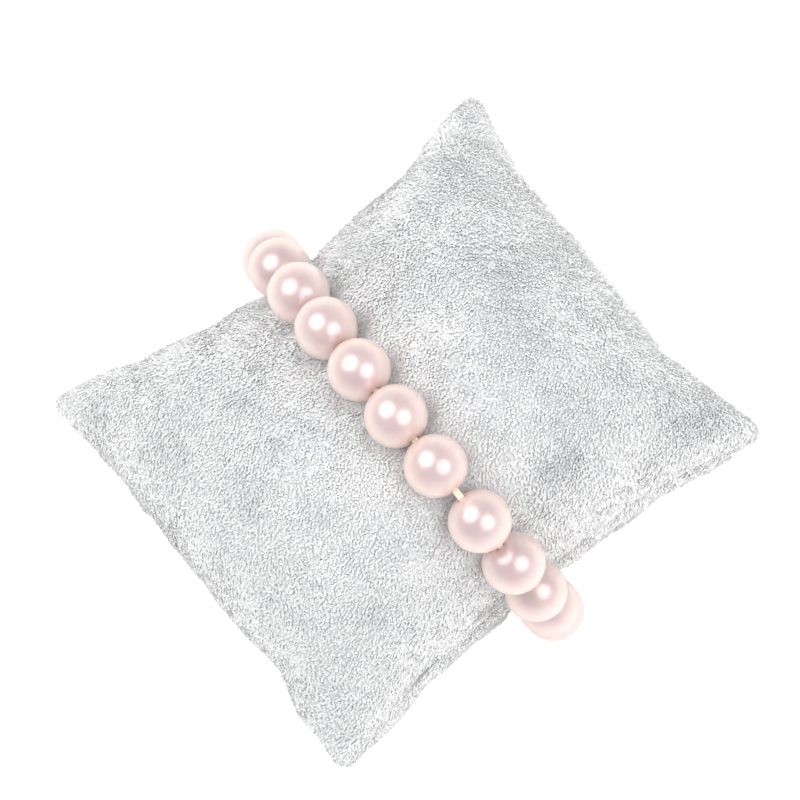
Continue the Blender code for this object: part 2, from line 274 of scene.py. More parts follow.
def bead_clearance(points):
    """How far each point is from the nearest bead's centre over the bracelet's travel, and
    the direction straight away from it."""
    nearest = np.full(len(points), 1e9)
    away = np.zeros_like(points)
    for centre in BEADS:
        offset = points - centre
        offset[:, 0] = np.sign(offset[:, 0]) * np.maximum(np.abs(offset[:, 0]) - SLIDE, 0.0)
        distance = np.linalg.norm(offset, axis=1)
        closer = distance < nearest
        nearest[closer] = distance[closer]
        away[closer] = offset[closer] / np.maximum(distance[closer], 1e-9)[:, None]
    return nearest, away


# ---------------------------------------------------------------- pillow cover


def seam_loop():
    """The seam line as a closed polyline, read from the seam threads' meshes."""
    points = []
    for node in ("main_seam_thread", "closing_seam_thread"):
        mesh = frame["nodes"][node].data
        co = np.zeros(len(mesh.vertices) * 3)
        mesh.vertices.foreach_get("co", co)
        points.append(co.reshape(-1, 3))
    points = np.vstack(points)
    angle = np.arctan2(points[:, 1], points[:, 0])
    index = ((angle + math.pi) / (2 * math.pi) * SEAM_LOOP_BINS).astype(int) % SEAM_LOOP_BINS
    loop = []
    for i in range(SEAM_LOOP_BINS):
        chosen = points[index == i]
        if len(chosen):
            radius = np.linalg.norm(chosen[:, :2], axis=1).mean()
            theta = np.arctan2(chosen[:, 1], chosen[:, 0]).mean()
            loop.append((radius * math.cos(theta), radius * math.sin(theta), chosen[:, 2].mean()))
    return np.array(loop)


def split_sides(loop):
    """Four sides between the corners, each from its -X or -Y end to its + end."""
    corner = {}
    places = {"far_left": (-1, 1), "far_right": (1, 1), "near_right": (1, -1), "near_left": (-1, -1)}
    for name, (sx, sy) in places.items():
        corner[name] = int(np.argmax(loop[:, 0] * sx + loop[:, 1] * sy))

    def run(a, b):
        i, j = corner[a], corner[b]
        count = (j - i) % len(loop)
        forward = [loop[(i + k) % len(loop)] for k in range(count + 1)]
        count = (i - j) % len(loop)
        backward = [loop[(i - k) % len(loop)] for k in range(count + 1)]
        return np.array(forward if len(forward) < len(backward) else backward)

    return {
        "far": run("far_left", "far_right"),
        "near": run("near_left", "near_right"),
        "left": run("near_left", "far_left"),
        "right": run("near_right", "far_right"),
    }


def side_point(side, share):
    """A point at a share (0 to 1) of the way along a side."""
    steps = np.linalg.norm(np.diff(side, axis=0), axis=1)
    arc = np.concatenate([[0.0], np.cumsum(steps)])
    at = share * arc[-1]
    return np.array([np.interp(at, arc, side[:, k]) for k in range(3)])


def patch_point(sides, u, v):
    """Point of the four-sided patch spanned by the seam, u along X and v along Y, 0 to 1."""
    far, near = side_point(sides["far"], u), side_point(sides["near"], u)
    left, right = side_point(sides["left"], v), side_point(sides["right"], v)
    corners = (1 - v) * ((1 - u) * sides["near"][0] + u * sides["near"][-1])
    corners = corners + v * ((1 - u) * sides["far"][0] + u * sides["far"][-1])
    return (1 - v) * near + v * far + (1 - u) * left + u * right - corners


def eased(cells):
    """Values from 0 to 1, close together at both ends."""
    return [0.5 - 0.5 * math.cos(math.pi * i / cells) for i in range(cells + 1)]


def cover_grid():
    """Closed cover surface: upper and lower sheets over the patch, sharing the seam line."""
    sides = split_sides(seam_loop())
    graph = bpy.context.evaluated_depsgraph_get()
    upper = BVHTree.FromObject(frame["nodes"]["cover_top_panel"], graph)
    lower = BVHTree.FromObject(frame["nodes"]["cover_bottom_panel"], graph)
    us, vs = eased(COVER_CELLS_ALONG), eased(COVER_CELLS_ACROSS)
    verts, top_index, bottom_index = [], {}, {}
    for i, u in enumerate(us):
        for j, v in enumerate(vs):
            base = patch_point(sides, u, v)
            border = i in (0, COVER_CELLS_ALONG) or j in (0, COVER_CELLS_ACROSS)
            if border:
                top_index[i, j] = bottom_index[i, j] = len(verts)
                verts.append(base)
                continue
            for tree, sign, index in ((upper, 1, top_index), (lower, -1, bottom_index)):
                origin = Vector((base[0], base[1], sign * RAY_START))
                hit = tree.ray_cast(origin, Vector((0, 0, -sign)))[0]
                height = hit.z if hit is not None else base[2] + sign * EDGE_HALF_GAP
                index[i, j] = len(verts)
                verts.append(np.array([base[0], base[1], height]))
    faces = []
    for i in range(COVER_CELLS_ALONG):
        for j in range(COVER_CELLS_ACROSS):
            ring = ((i, j), (i + 1, j), (i + 1, j + 1), (i, j + 1))
            faces.append([top_index[k] for k in ring])
            faces.append([bottom_index[k] for k in reversed(ring)])
    seam = sorted({top_index[i, j] for (i, j) in top_index if top_index[i, j] == bottom_index[i, j]})
    return np.array(verts), faces, seam


def mesh_arrays(mesh):
    """A mesh's vertex places and normals."""
    co = np.zeros(len(mesh.vertices) * 3)
    mesh.vertices.foreach_get("co", co)
    normals = np.zeros(len(mesh.vertices) * 3)
    mesh.vertices.foreach_get("normal", normals)
    return co.reshape(-1, 3), normals.reshape(-1, 3)


def relax(mesh, fixed, rounds, strength):
    """Evens a mesh out by moving each vertex towards its neighbours' mean."""
    count = len(mesh.vertices)
    edges = np.zeros(len(mesh.edges) * 2, dtype=int)
    mesh.edges.foreach_get("vertices", edges)
    edges = edges.reshape(-1, 2)
    co, _ = mesh_arrays(mesh)
    degree = np.bincount(edges.ravel(), minlength=count).astype(float)
    free = np.ones(count)
    free[fixed] = 0.0
    for _ in range(rounds):
        total = np.zeros_like(co)
        np.add.at(total, edges[:, 0], co[edges[:, 1]])
        np.add.at(total, edges[:, 1], co[edges[:, 0]])
        co += (total / degree[:, None] - co) * (strength * free)[:, None]
    mesh.vertices.foreach_set("co", co.ravel())
    mesh.update()


def press_clear(points, clearance):
    """Moves points straight away from the beads until they clear them."""
    distance, away = bead_clearance(points)
    short = np.maximum(clearance - distance, 0.0)
    return points + away * short[:, None]


def shape_outline(points):
    """Pinches the sides beside the corners and pushes the corners out, in plan."""
    s = (points[:, 0] - WAIST_X) / HALF_LENGTH
    t = (points[:, 1] - CAD_MIDDLE_Y) / HALF_WIDTH
    pinch_s = np.exp(-(((np.abs(s) - SHOULDER_PLACE) / SHOULDER_WIDTH) ** 2))
    pinch_t = np.exp(-(((np.abs(t) - SHOULDER_PLACE) / SHOULDER_WIDTH) ** 2))
    corner = np.clip(np.abs(s * t), 0, 1) ** CORNER_SHARPNESS
    points = points.copy()
    long_side = np.where(t < 0, PINCH_NEAR, np.where(s < 0, PINCH_FAR_LEFT, PINCH_FAR_RIGHT))
    points[:, 1] -= np.sign(t) * t * t * pinch_s * long_side
    short_side = np.where(t > 0, PINCH_ENDS_FAR, PINCH_ENDS_NEAR)
    points[:, 0] -= np.sign(s) * s * s * pinch_t * short_side
    points[:, 0] += np.sign(s) * corner * CORNER_PUSH
    points[:, 1] += np.sign(t) * corner * CORNER_PUSH
    return points


def stuff(mesh, held):
    """Cloth simulation: pressure swells a slightly slack cover inside its sewn seam."""
    base, normals = mesh_arrays(mesh)
    hold = np.zeros(len(base))
    hold[held] = 1.0
    clearance, _ = bead_clearance(base)
    hold = np.maximum(hold, 1 - smoothstep(HOLD_BEADS_FULL, HOLD_BEADS_NONE, clearance))
    resting = 1 - smoothstep(HOLD_REST_FULL, HOLD_REST_NONE, base[:, 2])
    hold = np.maximum(hold, resting)
    start = base - normals * (SIM_ROOM * (1 - hold))[:, None]
    copy = mesh.copy()
    copy.vertices.foreach_set("co", (start * SIM_SCALE).ravel())
    obj = new_object("stuffing_run", copy, None)
    group = obj.vertex_groups.new(name="held")
    for index in np.nonzero(hold > HOLD_LEAST)[0]:
        group.add([int(index)], float(hold[index]), "REPLACE")
    cloth = obj.modifiers.new("cloth", "CLOTH")
    settings = cloth.settings
    settings.quality = SIM_QUALITY
    settings.mass = SIM_MASS
    settings.tension_stiffness = SIM_TENSION
    settings.compression_stiffness = SIM_COMPRESSION
    settings.shear_stiffness = SIM_SHEAR
    settings.bending_stiffness = SIM_BENDING
    settings.use_pressure = True
    settings.uniform_pressure_force = SIM_PRESSURE
    settings.vertex_group_mass = "held"
    settings.shrink_min = SIM_SHRINK
    settings.effector_weights.gravity = 0
    scene = bpy.context.scene
    for step in range(1, SIM_FRAMES + 1):
        scene.frame_set(step)
    swollen = obj.evaluated_get(bpy.context.evaluated_depsgraph_get()).to_mesh()
    result = np.zeros(len(swollen.vertices) * 3)
    swollen.vertices.foreach_get("co", result)
    result = result.reshape(-1, 3) / SIM_SCALE
    bpy.data.objects.remove(obj, do_unlink=True)
    scene.frame_set(1)
    moved = result - base
    along = np.sum(moved * normals, axis=1)
    free = hold < HOLD_LEAST
    moved -= normals * (np.median(along[free]) * (1 - hold))[:, None]
    length = np.linalg.norm(moved, axis=1)
    print("stuffing moved the cover by up to", round(float(length.max()) / MM, 2), "mm uncapped")
    moved *= np.minimum(1.0, SIM_CAP / np.maximum(length, 1e-9))[:, None]
    mesh.vertices.foreach_set("co", (base + moved * (1 - hold)[:, None]).ravel())
    mesh.update()


def subdivided(mesh, seam):
    """One Catmull-Clark level. Returns the new mesh and its seam vertices."""
    obj = new_object("cover_cage", mesh, None)
    group = obj.vertex_groups.new(name="seam")
    group.add([int(i) for i in seam], 1.0, "REPLACE")
    level = obj.modifiers.new("level", "SUBSURF")
    level.levels = level.render_levels = 1
    graph = bpy.context.evaluated_depsgraph_get()
    fine = bpy.data.meshes.new_from_object(obj.evaluated_get(graph))
    fine_seam = [v.index for v in fine.vertices if any(g.weight > 0.99 for g in v.groups)]
    bpy.data.objects.remove(obj, do_unlink=True)
    return fine, fine_seam


def seam_distance(seam_co, points):
    """Distance of each point from the closed seam line."""
    angle = np.arctan2(seam_co[:, 1], seam_co[:, 0])
    loop = seam_co[np.argsort(angle)]
    after = np.roll(loop, -1, axis=0)
    shares = np.linspace(0, 1, SEAM_STEPS_BETWEEN + 1)[:-1]
    dense = np.vstack([loop + (after - loop) * share for share in shares])
    tree = KDTree(len(dense))
    for i, point in enumerate(dense):
        tree.insert(point, i)
    tree.balance()
    return np.array([tree.find(point)[2] for point in points])


def build_cover(material):
    """The fabric under the pile: stuffed, subdivided, and cleared of the beads and table."""
    verts, faces, seam = cover_grid()
    mesh = mesh_from("cover_cage", shape_outline(verts), faces)
    relax(mesh, seam, COVER_RELAX_ROUNDS, COVER_RELAX_STRENGTH)
    stuff(mesh, seam)
    mesh, seam = subdivided(mesh, seam)
    mesh.name = "plush_cover"
    co, normals = mesh_arrays(mesh)
    groove = np.exp(-((seam_distance(co[seam], co) / SEAM_GROOVE_WIDTH) ** 2))
    inward = groove * (SEAM_GROOVE + COVER_OUTSET * SEAM_GROOVE_OUTSET_SHARE)
    co = co + normals * (COVER_OUTSET - inward)[:, None]
    co = press_clear(co, BEAD_RADIUS + COVER_GROUND)
    co[:, 2] = np.maximum(co[:, 2], COVER_TABLE_GAP)
    mesh.vertices.foreach_set("co", co.ravel())
    mesh.update()
    mesh.shade_smooth()
    cover = new_object("plush_cover", mesh, material)
    return cover, seam


# ---------------------------------------------------------------- pile


def scatter(co, normals, triangles, spacing, rng):
    """Blue-noise points on a triangle mesh: (points, normals)."""
    a, b, c = (co[triangles[:, k]] for k in range(3))
    area = np.linalg.norm(np.cross(b - a, c - a), axis=1) / 2
    count = int(area.sum() / spacing**2 * PILE_CANDIDATES)
    pick = rng.choice(len(triangles), size=count, p=area / area.sum())
    r1, r2 = np.sqrt(rng.random(count)), rng.random(count)
    w = np.stack([1 - r1, r1 * (1 - r2), r1 * r2], axis=1)
    tri = triangles[pick]
    points = sum(co[tri[:, k]] * w[:, k : k + 1] for k in range(3))
    normal = unit(sum(normals[tri[:, k]] * w[:, k : k + 1] for k in range(3)))
    cells = {}
    keep = []
    keys = np.floor(points / spacing).astype(int)
    limit = spacing * spacing
    near = [(x, y, z) for x in (-1, 0, 1) for y in (-1, 0, 1) for z in (-1, 0, 1)]
    for i in range(count):
        kx, ky, kz = keys[i]
        px, py, pz = points[i]
        clash = False
        for dx, dy, dz in near:
            for qx, qy, qz in cells.get((kx + dx, ky + dy, kz + dz), ()):
                if (px - qx) ** 2 + (py - qy) ** 2 + (pz - qz) ** 2 < limit:
                    clash = True
                    break
            if clash:
                break
        if not clash:
            cells.setdefault((kx, ky, kz), []).append((px, py, pz))
            keep.append(i)
    return points[keep], normal[keep]


def seam_share(at_seam, reach, from_seam):
    """A factor that is at_seam on the seam and 1 away from it."""
    return at_seam + (1 - at_seam) * smoothstep(*reach, from_seam)


def pile_tufts(points, normals, from_seam, rng):
    """Vertices, faces, uv and shading normals of the tufts that stand on these points.

    The uv holds no place on a picture: u is the tuft's tone, and v the height up the tuft, from
    which the pile material paints shade towards the root.
    """
    count = len(points)
    flow = np.stack([Waves(seed, *NAP_FLOW_WAVES)(points) for seed in NAP_FLOW_SEEDS], axis=1)
    swirl = np.stack([Waves(seed, *NAP_SWIRL_WAVES)(points) for seed in NAP_SWIRL_SEEDS], axis=1)
    nap = NAP_MAIN + NAP_FLOW * flow + NAP_SWIRL * swirl
    nap = nap + rng.normal(size=(count, 3)) * NAP_SCATTER
    lean_axis = unit(nap - normals * np.sum(nap * normals, axis=1, keepdims=True))
    left = smoothstep(*LEAN_LEFT_REACH, points[:, 0])
    mottle = Waves(MOTTLE_SEED, *MOTTLE_WAVES)(points)
    lean = LEAN + LEAN_MORE_LEFT * left + LEAN_MOTTLE * mottle
    lean = np.radians(lean + LEAN_SCATTER * rng.normal(size=count))
    patch = Waves(PATCH_SEED, *PATCH_WAVES, PATCH_WAVE_COUNT)(points)
    spread = PILE_LENGTH_PATCH * patch + PILE_LENGTH_SCATTER * rng.normal(size=count)
    length = PILE_LENGTH * (1 + spread).clip(*PILE_LENGTH_LIMITS)
    length *= seam_share(SEAM_PILE_LENGTH, SEAM_PILE_LENGTH_REACH, from_seam)
    side = np.cross(normals, lean_axis)

    def along(share, bend):
        angle = lean * bend
        up = np.cos(angle)[:, None] * normals + np.sin(angle)[:, None] * lean_axis
        return up * (length * share)[:, None]

    root = points - normals * PILE_ROOT_DEPTH
    shoulder = points + along(PILE_SHOULDER, PILE_SHOULDER_BEND)
    tip = shoulder + along(1 - PILE_SHOULDER, PILE_TIP_BEND)
    for _ in range(2):
        shoulder = press_clear(shoulder, BEAD_RADIUS + BEAD_CLEARANCE + PILE_RADIUS)
        tip = press_clear(tip, BEAD_RADIUS + BEAD_CLEARANCE)
    shoulder[:, 2] = np.maximum(shoulder[:, 2], PILE_TABLE_GAP + PILE_RADIUS)
    tip[:, 2] = np.maximum(tip[:, 2], PILE_TABLE_GAP)
    spread = PILE_RADIUS_SCATTER * rng.normal(size=count)
    width = PILE_RADIUS * (1 + spread).clip(*PILE_RADIUS_LIMITS)
    width *= seam_share(SEAM_PILE_WIDTH, SEAM_PILE_WIDTH_REACH, from_seam)
    turn = rng.random(count) * 2 * math.pi
    verts = np.zeros((count, 7, 3))
    shade = np.zeros((count, 7, 3))
    for k in range(3):
        angle = turn + 2 * math.pi * k / 3
        out = np.cos(angle)[:, None] * lean_axis + np.sin(angle)[:, None] * side
        verts[:, k] = root + out * (width * PILE_ROOT_WIDTH)[:, None]
        verts[:, 3 + k] = shoulder + out * width[:, None]
        shade[:, k] = out * PILE_SIDE_SHADE + normals
        shade[:, 3 + k] = out * PILE_SIDE_SHADE + normals
    verts[:, 6] = tip
    shade[:, 6] = unit(tip - root) * PILE_TIP_SHADE + normals
    base = (np.arange(count) * 7)[:, None]
    triangles = [(3, 4, 6), (4, 5, 6), (5, 3, 6)]
    for k in range(3):
        n = (k + 1) % 3
        triangles += [(k, n, 3 + n), (k, 3 + n, 3 + k)]
    faces = np.concatenate([base + np.array(t) for t in triangles], axis=1).reshape(-1, 3)
    tone = TONE_MIDDLE + TONE_MOTTLE * mottle + TONE_PATCH * patch
    tone = tone + TONE_SCATTER * rng.normal(size=count)
    tone = tone + TONE_AT_SEAM * (1 - smoothstep(*SEAM_PILE_TONE_REACH, from_seam))
    tone = tone.clip(*TONE_LIMITS)
    heights = np.array([HEIGHT_ROOT] * 3 + [PILE_SHOULDER] * 3 + [HEIGHT_TIP])
    uv = np.zeros((count, 7, 2))
    uv[:, :, 0] = tone[:, None]
    uv[:, :, 1] = heights[None, :]
    return verts.reshape(-1, 3), faces, uv.reshape(-1, 2), unit(shade.reshape(-1, 3))


def tuft_mesh(name, verts, faces, uv, shade):
    """A mesh of triangles with the tufts' own uv and shading normals."""
    mesh = bpy.data.meshes.new(name)
    mesh.vertices.add(len(verts))
    mesh.vertices.foreach_set("co", verts.astype(np.float32).ravel())
    mesh.loops.add(len(faces) * 3)
    mesh.loops.foreach_set("vertex_index", faces.astype(np.int32).ravel())
    mesh.polygons.add(len(faces))
    mesh.polygons.foreach_set("loop_start", np.arange(len(faces), dtype=np.int32) * 3)
    mesh.update(calc_edges=True)
    mesh.validate()
    layer = mesh.uv_layers.new(name="OFBake")
    layer.data.foreach_set("uv", uv[faces.ravel()].astype(np.float32).ravel())
    mesh.shade_smooth()
    mesh.normals_split_custom_set_from_vertices(shade.tolist())
    return mesh


def build_pile(cover, seam, material):
    """The pile in four pieces: upper and lower panel, left and right of the waist."""
    mesh = cover.data
    mesh.calc_loop_triangles()
    triangles = np.zeros(len(mesh.loop_triangles) * 3, dtype=int)
    mesh.loop_triangles.foreach_get("vertices", triangles)
    triangles = triangles.reshape(-1, 3)
    co, normals = mesh_arrays(mesh)
    rng = np.random.default_rng(PILE_SEED)
    points, normal = scatter(co, normals, triangles, PILE_SPACING, rng)
    below = smoothstep(THINNING_STARTS, THINNING_ENDS, points[:, 2])
    keep = rng.random(len(points)) > below * (1 - (PILE_SPACING / PILE_SPACING_BELOW) ** 2)
    points, normal = points[keep], normal[keep]
    seam_co = co[seam]
    around = np.arctan2(points[:, 1], points[:, 0])
    upper = points[:, 2] > np.interp(around, *seam_heights(seam_co))
    from_seam = seam_distance(seam_co, points)
    pieces = []
    for name, chosen in (
        ("pile_top_left", upper & (points[:, 0] < WAIST_X)),
        ("pile_top_right", upper & (points[:, 0] >= WAIST_X)),
        ("pile_bottom_left", ~upper & (points[:, 0] < WAIST_X)),
        ("pile_bottom_right", ~upper & (points[:, 0] >= WAIST_X)),
    ):
        tufts = pile_tufts(points[chosen], normal[chosen], from_seam[chosen], rng)
        pieces.append(new_object(name, tuft_mesh(name, *tufts), material))
        print(name, int(chosen.sum()), "tufts")
    return pieces


def seam_heights(seam_co):
    """The seam's direction from the middle, in order, and its height there."""
    angle = np.arctan2(seam_co[:, 1], seam_co[:, 0])
    order = np.argsort(angle)
    return angle[order], seam_co[order, 2]


# ---------------------------------------------------------------- bracelet pieces


def bead_mesh(material):
    """A drilled pearl with softly rounded mouths."""
    segments = BEAD_SEGMENTS
    mouth = BEAD_HOLE_RADIUS
    edge = BEAD_MOUTH_EDGE
    start = math.asin((mouth + edge) / BEAD_RADIUS)
    profile = []
    for i in range(BEAD_RINGS + 1):
        angle = start + (math.pi - 2 * start) * i / BEAD_RINGS
        profile.append((BEAD_RADIUS * math.sin(angle), BEAD_RADIUS * math.cos(angle)))
    top = BEAD_RADIUS * math.cos(start)
    low_mouth = [(mouth + edge * 0.3, -top + edge * 0.25), (mouth, -top + edge)]
    high_mouth = [(mouth, top - edge), (mouth + edge * 0.3, top - edge * 0.25)]
    profile = profile + low_mouth + high_mouth
    verts, faces = [], []
    for radius, height in profile:
        for k in range(segments):
            angle = 2 * math.pi * k / segments
            verts.append((radius * math.cos(angle), radius * math.sin(angle), height))
    count = len(profile)
    for i in range(count):
        j = (i + 1) % count
        for k in range(segments):
            n = (k + 1) % segments
            faces.append((i * segments + k, j * segments + k, j * segments + n, i * segments + n))
    mesh = mesh_from("pearl", verts, faces)
    bm = bmesh.new()
    bm.from_mesh(mesh)
    bmesh.ops.recalc_face_normals(bm, faces=bm.faces)
    bm.to_mesh(mesh)
    bm.free()
    mesh.shade_smooth()
    mesh.materials.append(material)
    return mesh


def build_beads(material):
    """A pearl for each bead joint, its hole along the joint's axis."""
    shared = bead_mesh(material)
    for number, joint in enumerate(bead_joints, start=1):
        bead = bpy.data.objects.new(f"pearl_{number:02d}", shared.copy())
        bpy.context.scene.collection.objects.link(bead)
        spin = Matrix.Rotation(number * BEAD_SPIN_STEP, 4, "Z")
        turn = Vector((0, 0, 1)).rotation_difference(Vector(HOLES[number - 1]))
        place = Matrix.Translation(BEADS[number - 1])
        bead.matrix_world = place @ turn.to_matrix().to_4x4() @ spin
        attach(bead, joint["child"])
        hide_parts(f"pearl_bead_{number:02d}")


def cord_path():
    """Centre line of the cord, straight through each bead, and the knot's place and heading.

    The knot is in the widest gap of the loop's second half, under the pillow.
    """
    mouth = math.sqrt(BEAD_RADIUS**2 - BEAD_HOLE_RADIUS**2)
    path = []
    count = len(BEADS)
    gaps = [np.linalg.norm(BEADS[(i + 1) % count] - BEADS[i]) for i in range(count)]
    before = int(np.argmax([g if i > count // 2 else 0 for i, g in enumerate(gaps)]))
    after = (before + 1) % count
    for i in range(count):
        for share in (-1.0, -0.5, 0.0, 0.5, 1.0):
            path.append(BEADS[i] + HOLES[i] * mouth * share)
    gap_start = BEADS[before] + HOLES[before] * mouth
    gap_end = BEADS[after] - HOLES[after] * mouth
    return np.array(path), (gap_start + gap_end) / 2, HOLES[before]


def closed_tube(path, radius, sides, frame_at):
    """A tube along a closed path. frame_at(tangent) gives two directions across the path."""
    count = len(path)
    verts, faces = [], []
    for i in range(count):
        across, up = frame_at(unit(path[(i + 1) % count] - path[i - 1]))
        for k in range(sides):
            angle = 2 * math.pi * k / sides
            verts.append(path[i] + (across * math.cos(angle) + up * math.sin(angle)) * radius)
    for i in range(count):
        j = (i + 1) % count
        for k in range(sides):
            n = (k + 1) % sides
            faces.append((i * sides + k, i * sides + n, j * sides + n, j * sides + k))
    return verts, faces


def strand_frame(tangent):
    """Across a strand of the loop, which lies in a plane of constant X."""
    across = unit(X_AXIS - tangent * tangent[0])
    return across, np.cross(tangent, across)


def build_cord(material):
    """Two strands side by side through every bead, and a knot of two crossed turns."""
    path, knot, heading = cord_path()
    verts, faces = [], []

    def add(tube):
        faces.extend(tuple(i + len(verts) for i in face) for face in tube[1])
        verts.extend(tube[0])

    for side in (-1, 1):
        offset = X_AXIS * side * STRAND_RADIUS * STRAND_PLACE
        add(closed_tube(path + offset, STRAND_RADIUS, STRAND_SIDES, strand_frame))
    up = np.cross(heading, X_AXIS)
    reach = KNOT_RADIUS - STRAND_RADIUS
    for turn_axis, size in ((heading, reach), (X_AXIS, reach * KNOT_SECOND_TURN)):
        a = unit(np.cross(turn_axis, up))
        b = unit(np.cross(turn_axis, a))
        angles = [2 * math.pi * i / KNOT_STEPS for i in range(KNOT_STEPS)]
        ring = np.array([knot + (a * math.cos(t) + b * math.sin(t)) * size for t in angles])

        def turn_frame(tangent, axis=turn_axis):
            return axis, np.cross(tangent, axis)

        add(closed_tube(ring, STRAND_RADIUS, KNOT_SIDES, turn_frame))
    name = "elastic_cord_strands"
    cord = new_object(name, mesh_from(name, verts, faces), material)
    cord.data.shade_smooth()
    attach(cord, "bracelet")
    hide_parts("elastic_cord")


# ---------------------------------------------------------------- materials


class Nodes:
    """A short way to build a material's node tree."""

    def __init__(self, name):
        self.material = bpy.data.materials.new(name)
        self.material.use_nodes = True
        self.tree = self.material.node_tree
        self.shader = self.tree.nodes["Principled BSDF"]

    def add(self, kind, **values):
        node = self.tree.nodes.new(kind)
        for key, value in values.items():
            if hasattr(node, key):
                setattr(node, key, value)
            else:
                node.inputs[key.replace("_", " ")].default_value = value
        return node

    def link(self, out, into):
        self.tree.links.new(out, into)

    def ramp(self, source, stops):
        node = self.tree.nodes.new("ShaderNodeValToRGB")
        elements = node.color_ramp.elements
        while len(elements) < len(stops):
            elements.new(0.5)
        for element, (position, colour) in zip(elements, stops):
            element.position = position
            element.color = (*colour, 1.0)
        self.link(source, node.inputs["Fac"])
        return node

    def mix(self, a, b, factor, blend="MIX"):
        node = self.tree.nodes.new("ShaderNodeMix")
        node.data_type = "RGBA"
        node.blend_type = blend
        for socket, value in ((node.inputs[0], factor), (node.inputs[6], a), (node.inputs[7], b)):
            if hasattr(value, "links"):
                self.link(value, socket)
            elif isinstance(value, (int, float)):
                socket.default_value = value
            else:
                socket.default_value = (*value, 1.0)
        return node.outputs[2]


def paint_rim_glow(m):
    """Painted rim light: an emission glow where the surface turns away from the eye, standing in for
    light that the pile tips scatter.
    """
    facing = m.add("ShaderNodeLayerWeight", Blend=0.5)
    stops = [(0.2, (0.0, 0.0, 0.0)), (0.65, (0.18, 0.18, 0.18)), (1.0, (0.25, 0.25, 0.25))]
    edge = m.ramp(facing.outputs["Facing"], stops)
    m.shader.inputs["Emission Color"].default_value = (1.0, 1.0, 1.0, 1.0)
    m.link(edge.outputs["Color"], m.shader.inputs["Emission Strength"])


def pile_material():
    """Pile: painted shade darkens each tuft towards its root, so it is dark between the tufts and
    pale at the tips; each tuft with its own tone; a painted glow lightens the rims.
    """
    # Painted shade: the colour darkens from tip to root, standing in for the shade in the gaps
    # between the tufts.
    root_shade_stops = [
        (0.0, (0.48, 0.49, 0.51)),
        (0.4, (0.87, 0.875, 0.875)),
        (1.0, (0.925, 0.93, 0.925)),
    ]
    tone_stops = [
        (0.0, (0.74, 0.75, 0.77)),
        (0.5, (0.962, 0.965, 0.967)),
        (1.0, (1.03, 1.03, 1.025)),
    ]
    m = Nodes("plush_pile")
    uv = m.add("ShaderNodeUVMap", uv_map="OFBake")
    split = m.add("ShaderNodeSeparateXYZ")
    m.link(uv.outputs["UV"], split.inputs[0])
    # This ramp over the height up the tuft paints the shade towards the root.
    height = m.ramp(split.outputs["Y"], root_shade_stops)
    tone = m.ramp(split.outputs["X"], tone_stops)
    colour = m.mix(height.outputs["Color"], tone.outputs["Color"], 1.0, "MULTIPLY")
    m.link(colour, m.shader.inputs["Base Color"])
    # Painted glow at the rims, where the surface turns away from the eye.
    paint_rim_glow(m)
    m.shader.inputs["Roughness"].default_value = 0.9
    m.shader.inputs["Specular IOR Level"].default_value = 0.15
    m.shader.inputs["Sheen Weight"].default_value = 1.0
    m.shader.inputs["Sheen Roughness"].default_value = 0.5
    return m.material


def ground_material():
    """The knitted ground under the pile."""
    m = Nodes("plush_ground")
    coords = m.add("ShaderNodeTexCoord")
    fine = m.add("ShaderNodeTexNoise", Scale=1400.0, Detail=3.0)
    broad = m.add("ShaderNodeTexNoise", Scale=70.0, Detail=2.0)
    m.link(coords.outputs["Object"], fine.inputs["Vector"])
    m.link(coords.outputs["Object"], broad.inputs["Vector"])
    weave = m.ramp(fine.outputs["Fac"], [(0.3, (0.80, 0.81, 0.82)), (0.7, (0.90, 0.905, 0.91))])
    patch = m.ramp(broad.outputs["Fac"], [(0.3, (0.93, 0.93, 0.94)), (0.7, (1.0, 1.0, 1.0))])
    colour = m.mix(weave.outputs["Color"], patch.outputs["Color"], 1.0, "MULTIPLY")
    m.link(colour, m.shader.inputs["Base Color"])
    # Painted glow at the rims, where the surface turns away from the eye.
    paint_rim_glow(m)
    m.shader.inputs["Roughness"].default_value = 0.95
    m.shader.inputs["Specular IOR Level"].default_value = 0.1
    bump = m.add("ShaderNodeBump", Strength=0.4, Distance=0.0002)
    m.link(fine.outputs["Fac"], bump.inputs["Height"])
    m.link(bump.outputs["Normal"], m.shader.inputs["Normal"])
    return m.material


